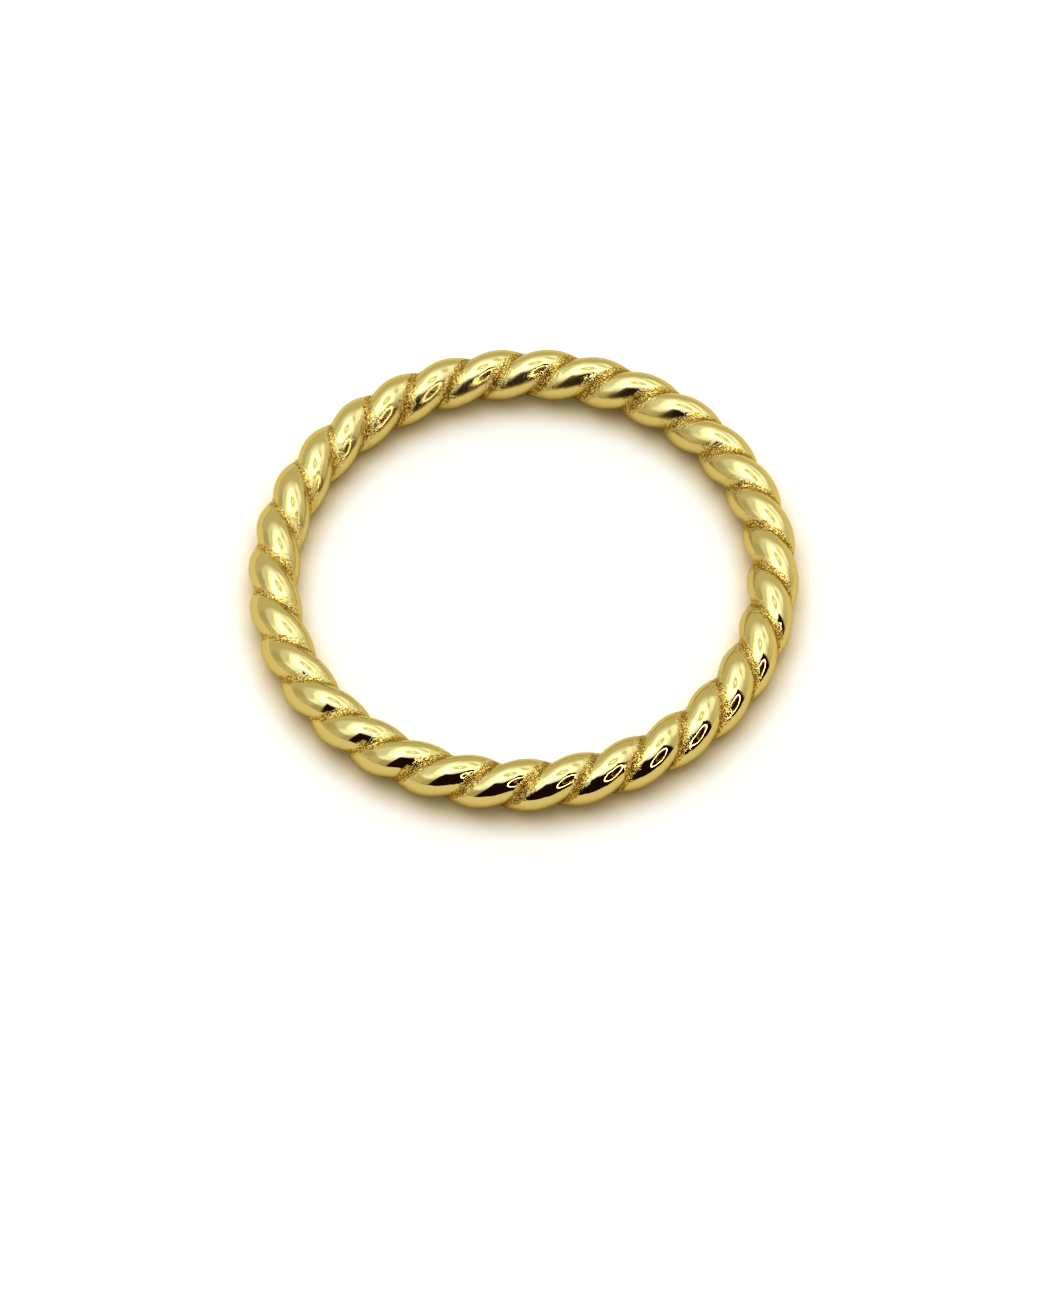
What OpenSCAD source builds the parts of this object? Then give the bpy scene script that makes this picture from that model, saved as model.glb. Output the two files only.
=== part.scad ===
// Rope twist finger ring: two round strands laid round each other, cast in one piece
// and closed into a band. It lies on its side, with its lowest ridges on Z = 0 and its
// axis on Z. Lengths are in millimetres and angles in degrees.

/* [Band] */
// Clear diameter for the finger, across the inner ridges
finger_d = 17.3; // [14:0.1:22]
// Diameter of the rope, across the ridges of both strands
rope_d = 2.0; // [1.5:0.05:2.7]

/* [Twist] */
// Number of strands laid round each other
strands = 2; // [2:1:4]
// Diameter of one strand: the more it is over half of rope_d, the shallower the grooves
strand_d = 1.4; // [1.05:0.05:1.9]
// Distance from one ridge to the next, along the middle of the rope
ridge_pitch = 2.02; // [1.4:0.01:3.2]
// Direction of the lay: S slopes like the middle of the letter S
lay = "S"; // ["S", "Z"]
// Turn of the whole band about its axis
start_angle = 1.75; // [0:0.25:12]

/* [Mesh] */
// Sections for each ridge, along the band
sections_per_lobe = 8; // [4:2:16]
// Points across the visible part of one strand
points_per_strand = 12; // [6:2:24]

/* [Hidden] */

gold = "#d3ac45";

band_r = (finger_d + rope_d) / 2;      // radius of the line that the rope follows
strand_r = strand_d / 2;
lay_r = rope_d / 2 - strand_r;         // radius at which a strand's centre winds round that line
lobes = round(2 * PI * band_r / ridge_pitch); // whole ridges that go round the band
turns = lobes / strands;
rise = band_r / turns;                 // advance along the band for one radian of lay
strand_path = norm([lay_r, rise]);     // strand length for one radian of lay
lay_sign = lay == "S" ? 1 : -1;

sections = lobes * sections_per_lobe;
points = strands * points_per_strand;
groove_angle = 180 / strands;          // from a ridge to the groove beside it, about the rope's centre

// One strand is a tube round a helix. These give where the plane square to the rope cuts the
// tube at tube angle b, 0 being outermost, in polar form about the rope's centre.
function cut_x(b) = lay_r + strand_r * cos(b);
function cut_y(b) = strand_r * sin(b) * rise / strand_path;
function cut_lag(b) = strand_r * sin(b) * lay_r / (strand_path * rise) * 180 / PI;
function cut_angle(b) = atan2(cut_y(b), cut_x(b)) + cut_lag(b);
function cut_radius(b) = norm([cut_x(b), cut_y(b)]);

// Tube angle at which the strand meets its neighbour, found by halving
function groove_at(low = 0, high = 180, steps = 40) =
    let (middle = (low + high) / 2)
    steps == 0 ? middle
    : cut_angle(middle) < groove_angle ? groove_at(middle, high, steps - 1)
    : groove_at(low, middle, steps - 1);

groove_b = groove_at();

// Outline of the rope, square to its centre line, as [radius, angle] pairs
outline = [
    for (s = [0 : strands - 1], i = [0 : points_per_strand - 1])
        let (b = groove_b * (2 * i / points_per_strand - 1))
        [cut_radius(b), cut_angle(b) + s * 360 / strands]
];

// Point i of the outline at section j, on the bent rope. A ridge points straight down at section 0.
function band_point(j, i) =
    let (
        along = 360 * j / sections,
        around = lay_sign * (outline[i][1] + along * turns) - 90,
        out = band_r + outline[i][0] * cos(around)
    )
    [out * cos(along), out * sin(along), rope_d / 2 + outline[i][0] * sin(around)];

// The last section meets the first one a few strands on, when the lay isn't whole turns
closing_shift = (lobes % strands) * points_per_strand;

function corner(j, i) =
    j < sections ? j * points + i % points
    : (i + closing_shift) % points;

// Two triangles for each patch, cut across its shorter diagonal and wound to face outwards
function patch(j, i) =
    let (a = corner(j, i), b = corner(j, i + 1), c = corner(j + 1, i + 1), d = corner(j + 1, i))
    lay_sign > 0 ? [[a, b, d], [b, c, d]] : [[a, d, b], [b, d, c]];

module rope_band() {
    color(gold)
    rotate([0, 0, start_angle])
    polyhedron(
        points = [for (j = [0 : sections - 1], i = [0 : points - 1]) band_point(j, i)],
        faces = [for (j = [0 : sections - 1], i = [0 : points - 1], side = patch(j, i)) side]
    );
}

rope_band();
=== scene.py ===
import math

import bpy
import numpy as np
from mathutils import Matrix, Vector


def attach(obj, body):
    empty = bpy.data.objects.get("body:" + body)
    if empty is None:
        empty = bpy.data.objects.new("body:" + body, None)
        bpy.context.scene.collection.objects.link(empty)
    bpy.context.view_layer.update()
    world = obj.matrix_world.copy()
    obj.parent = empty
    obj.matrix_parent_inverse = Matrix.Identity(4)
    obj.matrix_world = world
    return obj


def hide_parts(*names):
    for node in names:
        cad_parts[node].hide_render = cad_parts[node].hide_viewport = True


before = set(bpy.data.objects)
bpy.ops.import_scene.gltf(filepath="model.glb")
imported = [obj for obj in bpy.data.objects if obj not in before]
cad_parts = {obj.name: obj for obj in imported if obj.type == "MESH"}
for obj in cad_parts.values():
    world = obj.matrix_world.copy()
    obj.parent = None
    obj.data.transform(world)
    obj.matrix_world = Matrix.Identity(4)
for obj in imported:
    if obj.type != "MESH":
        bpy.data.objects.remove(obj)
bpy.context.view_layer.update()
print("frame loaded")

mm = 0.001
scene = bpy.context.scene


# camera

photoCamera = {
    "elevation": 55.39,          # degrees above the horizon, from the middle of the ring
    "distance": 218.8 * mm,      # from the middle of the ring
    "roll": 1.67,                # degrees, clockwise
    "lens": 156.7,               # mm
    "sensor": 36.0,              # mm, along the longer side of the picture
    "nearest": 10.0 * mm,        # what is nearer doesn't show
    "frame": (1040, 1300),       # the photo's pixels
    "ringAt": (523.0, 574.6),    # where the middle of the ring falls in it
    "ringHeight": 1.0 * mm,      # the rope's middle line above the floor
}


def makeCamera(c):
    data = bpy.data.cameras.new("photoCamera")
    data.lens = c["lens"]
    data.sensor_width = c["sensor"]
    data.sensor_fit = "AUTO"
    data.clip_start = c["nearest"]
    data.dof.use_dof = False
    cam = bpy.data.objects.new("photoCamera", data)
    scene.collection.objects.link(cam)
    tilt, roll = math.radians(c["elevation"]), math.radians(c["roll"])
    away = Vector((0, math.cos(tilt), -math.sin(tilt)))
    level, upright = Vector((1, 0, 0)), Vector((0, math.sin(tilt), math.cos(tilt)))
    right = level * math.cos(roll) - upright * math.sin(roll)
    up = level * math.sin(roll) + upright * math.cos(roll)
    middle = Vector((0, 0, c["ringHeight"]))
    cam.location = middle - away * c["distance"]
    # the middle of the picture is a little to one side of the ring
    perPixel = c["distance"] * data.sensor_width / data.lens / max(c["frame"])
    aim = (middle - right * (c["ringAt"][0] - c["frame"][0] / 2) * perPixel
           - up * (c["frame"][1] / 2 - c["ringAt"][1]) * perPixel)
    back = (cam.location - aim).normalized()
    side = up.cross(back).normalized()
    turned = Matrix((side, back.cross(side), back)).transposed()
    cam.rotation_mode = "QUATERNION"
    cam.rotation_quaternion = turned.to_quaternion()
    scene.camera = cam


makeCamera(photoCamera)
print("camera set")


# nodes for materials and the studio

def addNode(tree, kind, **values):
    made = tree.nodes.new(kind)
    for name, value in values.items():
        setattr(made, name, value)
    return made


def feed(tree, socket, value):
    # a number, colour or direction is set on the socket, and anything else is joined to it
    if isinstance(value, (int, float)):
        socket.default_value = value
    elif isinstance(value, tuple):
        socket.default_value = value if len(value) == len(socket.default_value) else (*value, 1)
    else:
        tree.links.new(value, socket)


def calc(tree, operation, *values):
    made = addNode(tree, "ShaderNodeMath", operation=operation)
    for socket, value in zip(made.inputs, values):
        feed(tree, socket, value)
    return made.outputs[0]


def ramp(tree, value, low, high):
    # a smooth rise from 0 at low to 1 at high
    made = addNode(tree, "ShaderNodeMapRange", interpolation_type="SMOOTHSTEP")
    for name, amount in (("Value", value), ("From Min", low), ("From Max", high)):
        feed(tree, made.inputs[name], amount)
    return made.outputs["Result"]


def spread(tree, share, low, high):
    # an even rise from low to high
    made = addNode(tree, "ShaderNodeMapRange")
    for name, amount in (("Value", share), ("To Min", low), ("To Max", high)):
        feed(tree, made.inputs[name], amount)
    return made.outputs["Result"]


def mix(tree, share, low, high):
    # from one colour to another
    made = addNode(tree, "ShaderNodeMix", data_type="RGBA")
    for name, value in (("Factor", share), ("A", low), ("B", high)):
        feed(tree, made.inputs[name], value)
    return made.outputs["Result"]


def newMaterial(name):
    material = bpy.data.materials.new(name)
    material.use_nodes = True
    tree = material.node_tree
    return material, tree, tree.nodes["Principled BSDF"]


# the rope ring

rope = {
    "fingerDiameter": 17.3 * mm,
    "ropeDiameter": 2.0 * mm,
    "strandDiameter": 1.4 * mm,
    "ridges": 30,
    "strands": 2,
    "startAngle": 1.75,          # degrees
    "sections": 1440,            # round the ring
    "ridgePoints": 14,           # across the smooth part of a strand
    "groovePoints": 10,          # from there to the groove, on either side
    "smoothShare": 0.60,         # how far the smooth part reaches towards the groove
    "filletDepth": 0.05 * mm,    # metal left in the bottom of the groove
    "outlineSteps": 4001,        # points that the strand's outline is worked out at
}

cast = {
    # shares of the way from ridge to groove
    "grainFrom": 0.60,           # where the polish gives way to grain
    "grainFull": 0.86,
    "goldenFrom": 0.66,          # where the grain turns deeper golden, partly its own tone and partly painted gold-on-gold reflection
    "goldenFull": 0.84,
    "paintedGrooveShadeFrom": 0.76,            # the bottom of the groove, where less light gets in; painted shade darkens it there
    "waveFrom": 0.38,            # where soft dents begin, on the inner side
    "torn": 0.03,                # how far the grain's edge strays
    "stray": 0.035,              # and how far over longer stretches
    "insideGrowth": 0.16,        # how much wider the grain is on the inner side, less polished
    "sideGrowth": -0.09,         # at the ring's left and right it is narrower instead
    "sidePaintedGrooveShade": -0.8,            # and the groove's bottom gets less painted shade there
    "rightShare": 0.35,          # how much of these two the right side has
    # where the left and right begin, in radii before or behind the middle of the ring
    "sideFrom": 0.95,
    "sideFull": 0.52,
    # where the inner side begins, from 0 at the rope's top to 1 innermost
    "insideFrom": 0.05,
    "insideFull": 0.75,
    "grainHeight": 0.007 * mm,
    "waveHeight": 0.0045 * mm,
    # rounds of blur
    "grainBlur": 1,
    "waveBlur": 3,
    "strayBlur": 12,
    "seed": 7,
}


def smoothStep(value, low, high):
    x = np.clip((value - low) / (high - low), 0, 1)
    return x * x * (3 - 2 * x)


def bandRadius(r):
    # radius of the line that the rope follows
    return (r["fingerDiameter"] + r["ropeDiameter"]) / 2


def strandOutline(r):
    # one strand's cut, square to the rope, as radius against the angle from its ridge
    strandR = r["strandDiameter"] / 2
    layR = r["ropeDiameter"] / 2 - strandR
    rise = bandRadius(r) * r["strands"] / r["ridges"]
    path = math.hypot(layR, rise)
    b = np.linspace(-math.pi, math.pi, r["outlineSteps"])
    x = layR + strandR * np.cos(b)
    y = strandR * np.sin(b) * rise / path
    angle = np.arctan2(y, x) + strandR * np.sin(b) * layR / (path * rise)
    return angle, np.hypot(x, y)


def ropeGrid(r):
    angle, radius = strandOutline(r)
    half = math.pi / r["strands"]
    smooth = r["smoothShare"]
    # -1 at one groove, 0 on the ridge, just short of 1 at the next groove
    share = np.concatenate([
        np.linspace(-1, -smooth, r["groovePoints"], endpoint=False),
        np.linspace(-smooth, smooth, r["ridgePoints"], endpoint=False),
        np.linspace(smooth, 1, r["groovePoints"], endpoint=False),
    ])
    around = np.concatenate([half * share + s * 2 * half for s in range(r["strands"])])
    reach = np.interp(half * share, angle, radius)
    bottom, top = np.interp(half, angle, radius), r["ropeDiameter"] / 2
    filled = bottom + np.hypot(reach - bottom, r["filletDepth"])
    reach = np.minimum(filled, top)
    return around, np.tile(reach, r["strands"]), np.tile(np.abs(share), r["strands"])


def blur(field, times):
    for _ in range(times):
        field = (np.roll(field, 1, 0) + 2 * field + np.roll(field, -1, 0)) / 4
        field = (np.roll(field, 1, 1) + 2 * field + np.roll(field, -1, 1)) / 4
    return field


def evenNoise(dice, shape, times):
    field = blur(dice.normal(size=shape), times)
    return field / field.std()


def castSurface(c, groove, lay, start):
    # marks from 0 to 1 for the material, and how far each point stands in or out
    dice = np.random.default_rng(c["seed"])
    fine, wave, broad = [evenNoise(dice, lay.shape, c[times])
                         for times in ("grainBlur", "waveBlur", "strayBlur")]
    inside = smoothStep(-np.cos(lay), c["insideFrom"], c["insideFull"])
    side = smoothStep(np.abs(np.sin(start)), c["sideFrom"], c["sideFull"])
    side = (side * np.where(np.cos(start) > 0, c["rightShare"], 1))[:, None]
    worn = groove + c["torn"] * fine + c["stray"] * broad
    wider = c["insideGrowth"] * inside + c["sideGrowth"] * side * (1 - inside)
    grain = smoothStep(worn + wider, c["grainFrom"], c["grainFull"])
    golden = smoothStep(worn + c["sideGrowth"] * side, c["goldenFrom"], c["goldenFull"])
    dents = inside * smoothStep(groove, c["waveFrom"], c["grainFrom"])
    # painted shade towards the bottom of the groove, with less of it at the left and right
    paintedGrooveShade = smoothStep(worn, c["paintedGrooveShadeFrom"], 1) + c["sidePaintedGrooveShade"] * side
    push = fine * grain * c["grainHeight"] + wave * dents * c["waveHeight"]
    return {"inside": inside, "grain": grain, "golden": golden, "paintedGrooveShade": paintedGrooveShade}, push


def ropeMesh(r, c):
    around, reach, groove = ropeGrid(r)
    turns = r["ridges"] // r["strands"]
    along = np.arange(r["sections"]) / r["sections"] * 2 * math.pi
    lay = along[:, None] * turns + around[None, :] - math.pi / 2
    start = along + math.radians(r["startAngle"])
    marks, push = castSurface(c, groove[None, :], lay, start)
    radius = reach[None, :] + push
    out = bandRadius(r) + radius * np.cos(lay)
    points = np.stack([
        out * np.cos(start)[:, None],
        out * np.sin(start)[:, None],
        r["ropeDiameter"] / 2 + radius * np.sin(lay),
    ], axis=-1)
    rows, columns = points.shape[:2]
    index = np.arange(rows * columns).reshape(rows, columns)
    nextRow, nextColumn = np.roll(index, -1, 0), np.roll(index, -1, 1)
    corner = np.roll(nextRow, -1, 1)
    faces = np.stack([index, nextColumn, corner, nextRow], axis=-1).reshape(-1, 4)
    mesh = bpy.data.meshes.new("ropeRing")
    mesh.from_pydata(points.reshape(-1, 3).tolist(), [], faces.tolist())
    for name, values in marks.items():
        mark = mesh.attributes.new(name, "FLOAT", "POINT")
        mark.data.foreach_set("value", values.ravel().astype(np.float32))
    mesh.shade_smooth()
    mesh.update()
    return mesh


gold = {
    "ridgeColor": (0.575, 0.450, 0.135),
    # the grain's own deeper gold, partly painted gold-on-gold reflection in the groove
    "grainAndBounceColor": (0.725, 0.480, 0.102),
    "pitShadeColor": (0.215, 0.118, 0.012),   # painted shade in the pits between the grains
    "edgeColor": (0.84, 0.76, 0.50),     # where it is seen along the surface
    "pitFrom": 0.40,             # how high the noise is in a pit and on a grain, from 0 to 1
    "grainFrom": 0.60,
    "paintedGrooveShadeShare": 0.09,           # how much more of the dark pit colour, painted shade, the bottom of the groove gets
    "ridgeRoughness": 0.04,
    "insideRoughness": 0.22,
    "grainRoughness": 0.17,
    "grainSize": 0.060 * mm,
    "grainDetail": 1.5,
    "grainDepth": 0.038 * mm,
    "ragged": 0.70,              # how torn the edge of the grain is
    "raggedEdge": 0.35,          # and how softly it fades
}


def makeGold(g):
    material, tree, shader = newMaterial("polishedGold")
    shader.inputs["Metallic"].default_value = 1.0
    shader.inputs["Specular Tint"].default_value = (*g["edgeColor"], 1)

    def mark(name):
        return addNode(tree, "ShaderNodeAttribute", attribute_name=name).outputs["Fac"]

    noise = addNode(tree, "ShaderNodeTexNoise")
    noise.inputs["Scale"].default_value = 1 / g["grainSize"]
    noise.inputs["Detail"].default_value = g["grainDetail"]
    feed(tree, noise.inputs["Vector"], addNode(tree, "ShaderNodeTexCoord").outputs["Object"])
    height = noise.outputs["Fac"]
    # pits between golden grains, darkened with painted shade, and polished ridges beside them
    # painted shade: the bottom of the groove turns more of its points into dark pits
    pits = calc(tree, "MULTIPLY_ADD", mark("paintedGrooveShade"), -g["paintedGrooveShadeShare"], height)
    grainWithPitShade = mix(tree, ramp(tree, pits, g["pitFrom"], g["grainFrom"]), g["pitShadeColor"], g["grainAndBounceColor"])
    torn = calc(tree, "MULTIPLY_ADD", height, g["ragged"], mark("golden"))
    golden = ramp(tree, torn, g["ragged"], g["ragged"] + g["raggedEdge"])
    feed(tree, shader.inputs["Base Color"], mix(tree, golden, g["ridgeColor"], grainWithPitShade))
    grain = mark("grain")
    polish = spread(tree, mark("inside"), g["ridgeRoughness"], g["insideRoughness"])
    feed(tree, shader.inputs["Roughness"], spread(tree, grain, polish, g["grainRoughness"]))
    bump = addNode(tree, "ShaderNodeBump")
    bump.inputs["Distance"].default_value = g["grainDepth"]
    feed(tree, bump.inputs["Height"], height)
    feed(tree, bump.inputs["Strength"], grain)
    feed(tree, shader.inputs["Normal"], bump.outputs["Normal"])
    return material


ring = bpy.data.objects.new("rope_ring", ropeMesh(rope, cast))
scene.collection.objects.link(ring)
ring.data.materials.append(makeGold(gold))
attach(ring, "root")
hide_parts("rope_band")
print("rope ring made:", len(ring.data.polygons), "faces")


# floor

floorLook = {
    "size": 1.6,
    "color": (0.770, 0.748, 0.694),
    "paintedFloorShadeColor": (0.75, 0.63, 0.37),     # painted shade and painted gold bounce light on the paper beside the rope
    "paintedFloorShadeFrom": 0.55 * mm,               # to either side of the rope's middle line
    "paintedFloorShadeTo": 1.85 * mm,
    "roughness": 0.9,
}


def makeFloor(f, r):
    half = f["size"] / 2
    corners = [(-half, -half, 0), (half, -half, 0), (half, half, 0), (-half, half, 0)]
    mesh = bpy.data.meshes.new("floor")
    mesh.from_pydata(corners, [], [(0, 1, 2, 3)])
    floor = bpy.data.objects.new("floor", mesh)
    scene.collection.objects.link(floor)
    material, tree, shader = newMaterial("whitePaper")
    shader.inputs["Roughness"].default_value = f["roughness"]
    shader.inputs["Specular IOR Level"].default_value = 0.0
    fromMiddle = addNode(tree, "ShaderNodeVectorMath", operation="LENGTH")
    feed(tree, fromMiddle.inputs[0], addNode(tree, "ShaderNodeTexCoord").outputs["Object"])
    fromRope = calc(tree, "ABSOLUTE", calc(tree, "SUBTRACT", fromMiddle.outputs["Value"], bandRadius(r)))
    # painted shade and painted gold bounce light: near the rope the paper takes the warm shade colour,
    # fading to its own colour further out
    clear = ramp(tree, fromRope, f["paintedFloorShadeFrom"], f["paintedFloorShadeTo"])
    feed(tree, shader.inputs["Base Color"], mix(tree, clear, f["paintedFloorShadeColor"], f["color"]))
    mesh.materials.append(material)


makeFloor(floorLook, rope)
print("floor made")


# studio: bearings are in degrees from the camera's side, positive to its right

studio = {
    "walls": (0.86, 0.86, 0.84),
    "cove": {"from": 27.0, "full": 54.0, "color": (1.60, 1.85, 2.80)},
    "ceiling": {"from": 48.0, "full": 70.0, "color": (3.5, 4.2, 5.2)},
    # soft round patches: wide and tall are half sizes in degrees, edge a share of them
    "patches": [
        {"bearing": -72, "height": 41, "wide": 15, "tall": 10, "edge": 0.8, "color": (1.7, 1.95, 2.8)},
        {"bearing": -46, "height": 12, "wide": 12, "tall": 20, "edge": 0.8, "color": (0.64, 0.64, 0.56)},
        {"bearing": 120, "height": 14, "wide": 24, "tall": 15, "edge": 0.9, "color": (1.03, 1.03, 0.99)},
        {"bearing": 130, "height": 37, "wide": 20, "tall": 10, "edge": 0.8, "color": (1.7, 1.95, 2.8)},
        {"bearing": -105, "height": 20, "wide": 16, "tall": 14, "edge": 0.8, "color": (0.70, 0.70, 0.64)},
        {"bearing": -118, "height": 46, "wide": 26, "tall": 12, "edge": 0.9, "color": (1.12, 1.25, 1.6)},
        {"bearing": -115, "height": 60, "wide": 14, "tall": 5, "edge": 0.8, "color": (2.0, 2.2, 2.6)},
        {"bearing": 137, "height": 50, "wide": 10, "tall": 5, "edge": 0.8, "color": (1.1, 1.2, 1.3)},
        {"bearing": 5, "height": 71, "wide": 34, "tall": 7, "edge": 0.9, "color": (1.5, 1.75, 3.3)},
        {"bearing": 145, "height": 78, "wide": 15, "tall": 12, "edge": 0.4, "color": (1.2, 1.3, 1.3)},
        {"bearing": 145, "height": 78, "wide": 5, "tall": 4, "edge": 0.8, "color": (1.9, 2.2, 2.9)},
    ],
    "opening": {"left": -41.0, "right": 80.0, "low": -8.0, "high": 65.0, "edge": 2.5,
                "color": (0.016, 0.005, 0.005)},
    # bright round tubes inside the opening
    "tubes": [
        {"bearing": 44, "height": 36, "radius": 20.5, "width": 1.4, "edge": 0.8,
         "color": (20.0, 18.0, 17.6)},
        {"bearing": 51, "height": 37, "radius": 12.5, "width": 1.6, "edge": 1.6,
         "color": (0.8, 0.55, 0.4)},
    ],
    "seen": (1.0, 1.0, 1.0),     # what the camera sees past the floor
    # soft light that falls on the floor, most of it from above and behind
    "floorLight": {"bearing": -172.0, "height": 70.0, "inner": 12.0, "outer": 56.0,
                   "color": (1.0, 1.0, 1.0), "fill": 0.55, "beam": 3.2},
}


def bearingVector(bearing, height):
    b, h = math.radians(bearing), math.radians(height)
    return (math.sin(b) * math.cos(h), -math.cos(b) * math.cos(h), math.sin(h))


def makeStudio(s):
    world = bpy.data.worlds.new("studio")
    scene.world = world
    world.use_nodes = True
    tree = world.node_tree
    tree.nodes.clear()
    direction = addNode(tree, "ShaderNodeTexCoord").outputs["Generated"]

    def along(vector):
        dot = addNode(tree, "ShaderNodeVectorMath", operation="DOT_PRODUCT")
        feed(tree, dot.inputs[0], direction)
        feed(tree, dot.inputs[1], vector)
        return dot.outputs["Value"]

    def degrees(radians):
        return calc(tree, "MULTIPLY", radians, 180 / math.pi)

    def awayFrom(spot):
        # degrees between the direction and a spot
        return degrees(calc(tree, "ARCCOSINE", along(bearingVector(spot["bearing"], spot["height"]))))

    def between(value, low, high, edge):
        return calc(tree, "MULTIPLY", ramp(tree, value, low - edge, low + edge),
                    ramp(tree, value, high + edge, high - edge))

    def patch(color, p):
        # an ellipse round its spot, measured sideways and upwards from there
        b, h = math.radians(p["bearing"]), math.radians(p["height"])
        ahead = along(bearingVector(p["bearing"], p["height"]))
        sideways = along((math.cos(b), math.sin(b), 0))
        upwards = along((-math.sin(b) * math.sin(h), math.cos(b) * math.sin(h), math.cos(h)))
        x = calc(tree, "DIVIDE", degrees(calc(tree, "ARCTAN2", sideways, ahead)), p["wide"])
        y = calc(tree, "DIVIDE", degrees(calc(tree, "ARCTAN2", upwards, ahead)), p["tall"])
        squares = calc(tree, "ADD", calc(tree, "MULTIPLY", x, x), calc(tree, "MULTIPLY", y, y))
        share = ramp(tree, calc(tree, "SQRT", squares), 1 + p["edge"] / 2, 1 - p["edge"] / 2)
        return mix(tree, share, color, p["color"])

    def tube(color, t):
        off = calc(tree, "ABSOLUTE", calc(tree, "SUBTRACT", awayFrom(t), t["radius"]))
        share = ramp(tree, off, (t["width"] + t["edge"]) / 2, (t["width"] - t["edge"]) / 2)
        return mix(tree, share, color, t["color"])

    def light(color, strength=1.0):
        made = addNode(tree, "ShaderNodeBackground")
        feed(tree, made.inputs["Color"], color)
        feed(tree, made.inputs["Strength"], strength)
        return made.outputs[0]

    def choose(share, no, yes):
        made = addNode(tree, "ShaderNodeMixShader")
        for socket, value in zip(made.inputs, (share, no, yes)):
            feed(tree, socket, value)
        return made.outputs[0]

    # what the gold mirrors
    split = addNode(tree, "ShaderNodeSeparateXYZ")
    feed(tree, split.inputs[0], direction)
    height = degrees(calc(tree, "ARCSINE", split.outputs["Z"]))
    front = calc(tree, "MULTIPLY", split.outputs["Y"], -1.0)
    bearing = degrees(calc(tree, "ARCTAN2", split.outputs["X"], front))
    color = s["walls"]
    for part in (s["cove"], s["ceiling"]):
        color = mix(tree, ramp(tree, height, part["from"], part["full"]), color, part["color"])
    for p in s["patches"]:
        color = patch(color, p)
    o = s["opening"]
    dark = calc(tree, "MULTIPLY", between(bearing, o["left"], o["right"], o["edge"]),
                between(height, o["low"], o["high"], o["edge"]))
    color = mix(tree, dark, color, o["color"])
    for t in s["tubes"]:
        color = tube(color, t)

    # what lights the floor, and what is seen behind it
    f = s["floorLight"]
    beam = calc(tree, "MULTIPLY", ramp(tree, awayFrom(f), f["outer"], f["inner"]), f["beam"])
    onFloor = light(f["color"], calc(tree, "ADD", beam, f["fill"]))
    path = addNode(tree, "ShaderNodeLightPath")
    both = choose(path.outputs["Is Glossy Ray"], onFloor, light(color))
    seen = choose(path.outputs["Is Camera Ray"], both, light(s["seen"]))
    feed(tree, addNode(tree, "ShaderNodeOutputWorld").inputs["Surface"], seen)


makeStudio(studio)
scene.view_settings.view_transform = "Standard"
print("studio made")
